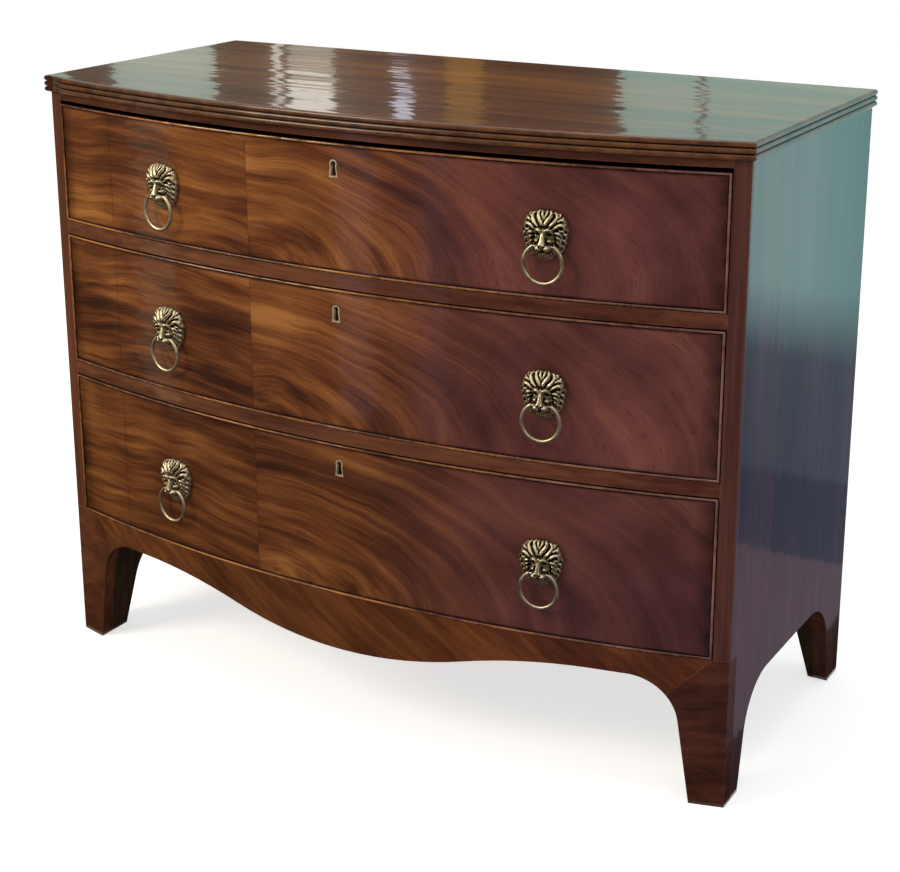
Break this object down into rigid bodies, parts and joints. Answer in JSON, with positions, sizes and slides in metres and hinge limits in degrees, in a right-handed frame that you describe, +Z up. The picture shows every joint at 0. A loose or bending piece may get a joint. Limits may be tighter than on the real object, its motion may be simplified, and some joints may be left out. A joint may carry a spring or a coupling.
{
  "type": "chest of drawers",
  "caption": "Bow front chest of drawers on bracket feet, with cockbeaded flame mahogany drawers, lion mask ring handles and a reeded top.",
  "frame": {"origin": "on the floor, in the middle of the footprint of the top", "axes": "+X to the right of someone facing the drawers, +Y to the back, +Z up; the drawers open towards -Y"},
  "size_m": [1.03, 0.5039, 0.827],
  "materials": {
    "mahogany": "French polished, worn at the edges",
    "flame_mahogany": "flame figured veneer, French polished",
    "pine": "bare wood, darkened with age",
    "oak": "bare wood",
    "brass": "cast or turned, with dark patina in the hollows",
    "iron": "forged, dark"
  },
  "bodies": {
    "case": {"top": "mahogany", "side_right": "mahogany", "side_left": "mahogany", "stile_right": "mahogany", "stile_left": "mahogany", "top_rail_front": "pine", "top_rail_back": "pine", "divider_lower": "mahogany", "divider_upper": "mahogany", "bottom_board": "pine", "dustboards": "pine", "drawer_runners": "oak", "kickers": "oak", "drawer_stops": "oak", "apron": "mahogany", "foot_front_right": "mahogany", "foot_front_left": "mahogany", "base_blocks": "pine", "back_boards": "pine", "back_nails": "iron", "top_screws": "iron"},
    "drawer_bottom": {"drawer_front_bottom": "flame_mahogany", "cockbeads_bottom": "mahogany", "drawer_side_left_bottom": "oak", "drawer_side_right_bottom": "oak", "drawer_back_bottom": "oak", "drawer_bottom_bottom": "pine", "lock_bottom": "iron", "escutcheon_bottom": "brass", "lion_masks_bottom": "brass", "handle_nuts_bottom": "iron"},
    "ring_left_bottom": {"ring_left_bottom": "brass"},
    "ring_right_bottom": {"ring_right_bottom": "brass"},
    "lock_bolt_bottom": {"lock_bolt_bottom": "iron"},
    "drawer_middle": {"drawer_front_middle": "flame_mahogany", "cockbeads_middle": "mahogany", "drawer_side_left_middle": "oak", "drawer_side_right_middle": "oak", "drawer_back_middle": "oak", "drawer_bottom_middle": "pine", "lock_middle": "iron", "escutcheon_middle": "brass", "lion_masks_middle": "brass", "handle_nuts_middle": "iron"},
    "ring_left_middle": {"ring_left_middle": "brass"},
    "ring_right_middle": {"ring_right_middle": "brass"},
    "lock_bolt_middle": {"lock_bolt_middle": "iron"},
    "drawer_top": {"drawer_front_top": "flame_mahogany", "cockbeads_top": "mahogany", "drawer_side_left_top": "oak", "drawer_side_right_top": "oak", "drawer_back_top": "oak", "drawer_bottom_top": "pine", "lock_top": "iron", "escutcheon_top": "brass", "lion_masks_top": "brass", "handle_nuts_top": "iron"},
    "ring_left_top": {"ring_left_top": "brass"},
    "ring_right_top": {"ring_right_top": "brass"},
    "lock_bolt_top": {"lock_bolt_top": "iron"}
  },
  "joints": [
    {"name": "drawer_bottom_slide", "type": "slide", "parent": "case", "child": "drawer_bottom", "axis": [0, -1, 0], "range_m": [0, 0.32]},
    {"name": "ring_left_bottom_hinge", "type": "hinge", "parent": "drawer_bottom", "child": "ring_left_bottom", "pos_m": [-0.28178, -0.23496, 0.284], "axis": [-0.9889, 0.1485, 0], "range_deg": [-8, 90]},
    {"name": "ring_right_bottom_hinge", "type": "hinge", "parent": "drawer_bottom", "child": "ring_right_bottom", "pos_m": [0.28178, -0.23496, 0.284], "axis": [-0.9889, -0.1485, 0], "range_deg": [-8, 90]},
    {"name": "lock_bolt_bottom_slide", "type": "slide", "parent": "drawer_bottom", "child": "lock_bolt_bottom", "axis": [0, 0, 1], "range_m": [0, 0.009]},
    {"name": "drawer_middle_slide", "type": "slide", "parent": "case", "child": "drawer_middle", "axis": [0, -1, 0], "range_m": [0, 0.32]},
    {"name": "ring_left_middle_hinge", "type": "hinge", "parent": "drawer_middle", "child": "ring_left_middle", "pos_m": [-0.28178, -0.23496, 0.4995], "axis": [-0.9889, 0.1485, 0], "range_deg": [-8, 90]},
    {"name": "ring_right_middle_hinge", "type": "hinge", "parent": "drawer_middle", "child": "ring_right_middle", "pos_m": [0.28178, -0.23496, 0.4995], "axis": [-0.9889, -0.1485, 0], "range_deg": [-8, 90]},
    {"name": "lock_bolt_middle_slide", "type": "slide", "parent": "drawer_middle", "child": "lock_bolt_middle", "axis": [0, 0, 1], "range_m": [0, 0.009]},
    {"name": "drawer_top_slide", "type": "slide", "parent": "case", "child": "drawer_top", "axis": [0, -1, 0], "range_m": [0, 0.32]},
    {"name": "ring_left_top_hinge", "type": "hinge", "parent": "drawer_top", "child": "ring_left_top", "pos_m": [-0.28178, -0.23496, 0.693], "axis": [-0.9889, 0.1485, 0], "range_deg": [-8, 90]},
    {"name": "ring_right_top_hinge", "type": "hinge", "parent": "drawer_top", "child": "ring_right_top", "pos_m": [0.28178, -0.23496, 0.693], "axis": [-0.9889, -0.1485, 0], "range_deg": [-8, 90]},
    {"name": "lock_bolt_top_slide", "type": "slide", "parent": "drawer_top", "child": "lock_bolt_top", "axis": [0, 0, 1], "range_m": [0, 0.009]}
  ]
}
